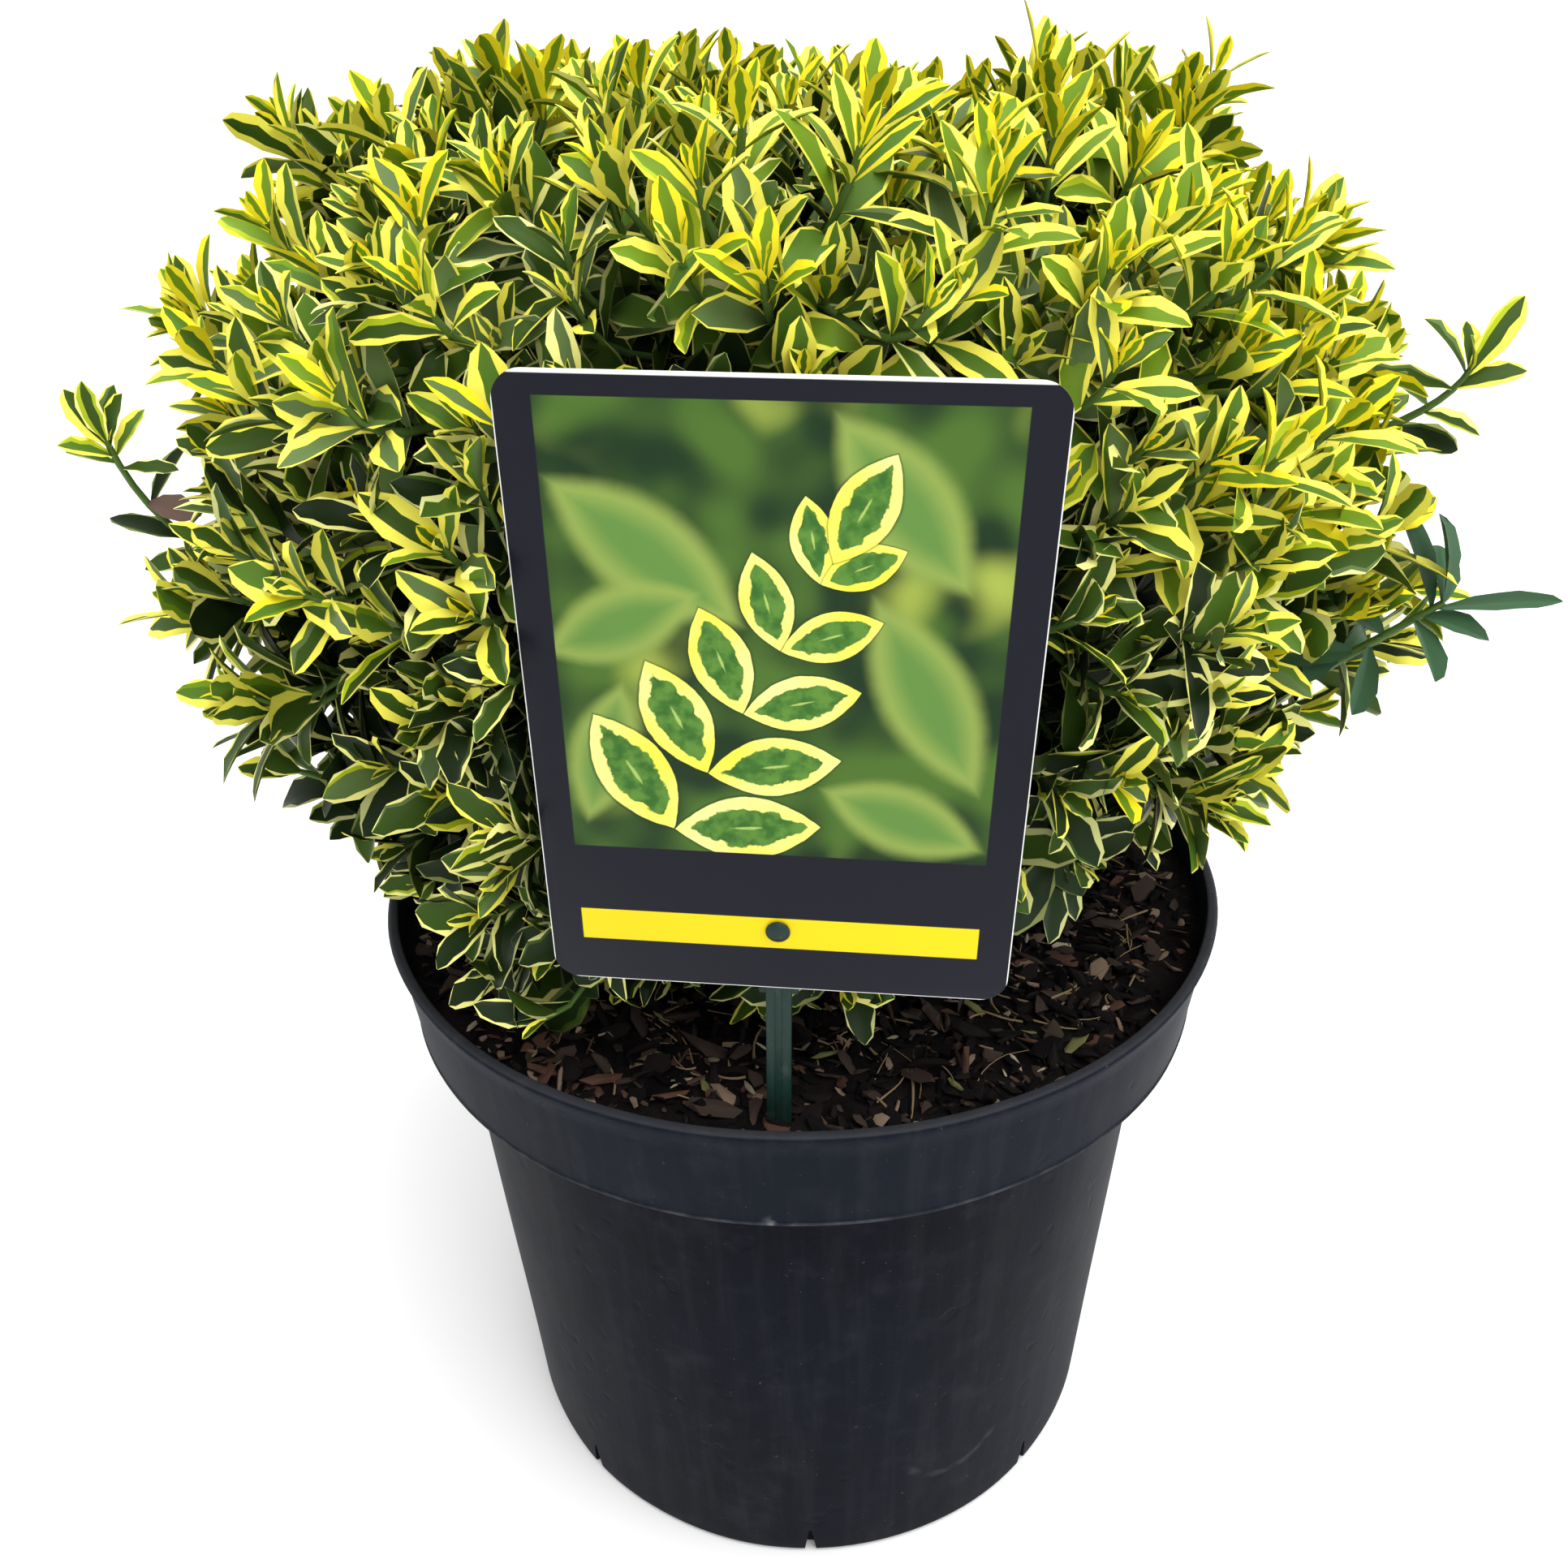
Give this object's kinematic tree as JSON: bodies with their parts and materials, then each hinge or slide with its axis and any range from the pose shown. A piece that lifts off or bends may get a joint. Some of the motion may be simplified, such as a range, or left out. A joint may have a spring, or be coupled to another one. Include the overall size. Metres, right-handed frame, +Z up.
{
  "type": "potted variegated japanese spindle",
  "caption": "Compact evergreen shrub with yellow-edged leaves, in a round plastic nursery pot of bark mulch, with a plain picture label on a stake.",
  "frame": {"origin": "middle of the pot's flat underside, at the level of what it stands on", "axes": "+Z up, -Y towards the front, where the label stands, +X to the right seen from the front"},
  "size_m": [0.4324, 0.3331, 0.4778],
  "materials": {
    "pot_plastic": "satin charcoal, lightly scuffed",
    "bark_mulch": "moist dark bark chips",
    "stem_bark": "green-brown young bark",
    "leaf_variegated": "leathery satin leaf, green with a yellow or cream margin",
    "leaf_green": "leathery satin leaf, plain green",
    "card_print": "printed semi-gloss sheet",
    "stake_plastic": "satin dark green"
  },
  "bodies": {
    "root": {"pot": "pot_plastic", "soil": "bark_mulch", "label_card": "card_print", "label_stake": "stake_plastic", "trunk": "stem_bark", "bough_upper_1": "stem_bark", "bough_upper_2": "stem_bark", "bough_upper_3": "stem_bark", "bough_upper_4": "stem_bark", "bough_upper_5": "stem_bark", "bough_upper_6": "stem_bark", "bough_middle_1": "stem_bark", "bough_middle_2": "stem_bark", "bough_middle_3": "stem_bark", "bough_middle_4": "stem_bark", "bough_middle_5": "stem_bark", "bough_middle_6": "stem_bark", "bough_middle_7": "stem_bark", "bough_middle_8": "stem_bark", "bough_lower_1": "stem_bark", "bough_lower_2": "stem_bark", "bough_lower_3": "stem_bark", "bough_lower_4": "stem_bark", "bough_lower_5": "stem_bark", "bough_lower_6": "stem_bark", "bough_lower_7": "stem_bark", "bough_green": "stem_bark", "foliage_top": "leaf_variegated", "foliage_upper_1": "leaf_variegated", "foliage_upper_2": "leaf_variegated", "foliage_upper_3": "leaf_variegated", "foliage_upper_4": "leaf_variegated", "foliage_upper_5": "leaf_variegated", "foliage_upper_6": "leaf_variegated", "foliage_middle_1": "leaf_variegated", "foliage_middle_2": "leaf_variegated", "foliage_middle_3": "leaf_variegated", "foliage_middle_4": "leaf_variegated", "foliage_middle_5": "leaf_variegated", "foliage_middle_6": "leaf_variegated", "foliage_middle_7": "leaf_variegated", "foliage_middle_8": "leaf_variegated", "foliage_lower_1": "leaf_variegated", "foliage_lower_2": "leaf_variegated", "foliage_lower_3": "leaf_variegated", "foliage_lower_4": "leaf_variegated", "foliage_lower_5": "leaf_variegated", "foliage_lower_6": "leaf_variegated", "foliage_lower_7": "leaf_variegated", "green_shoot": "leaf_green"}
  },
  "joints": []
}
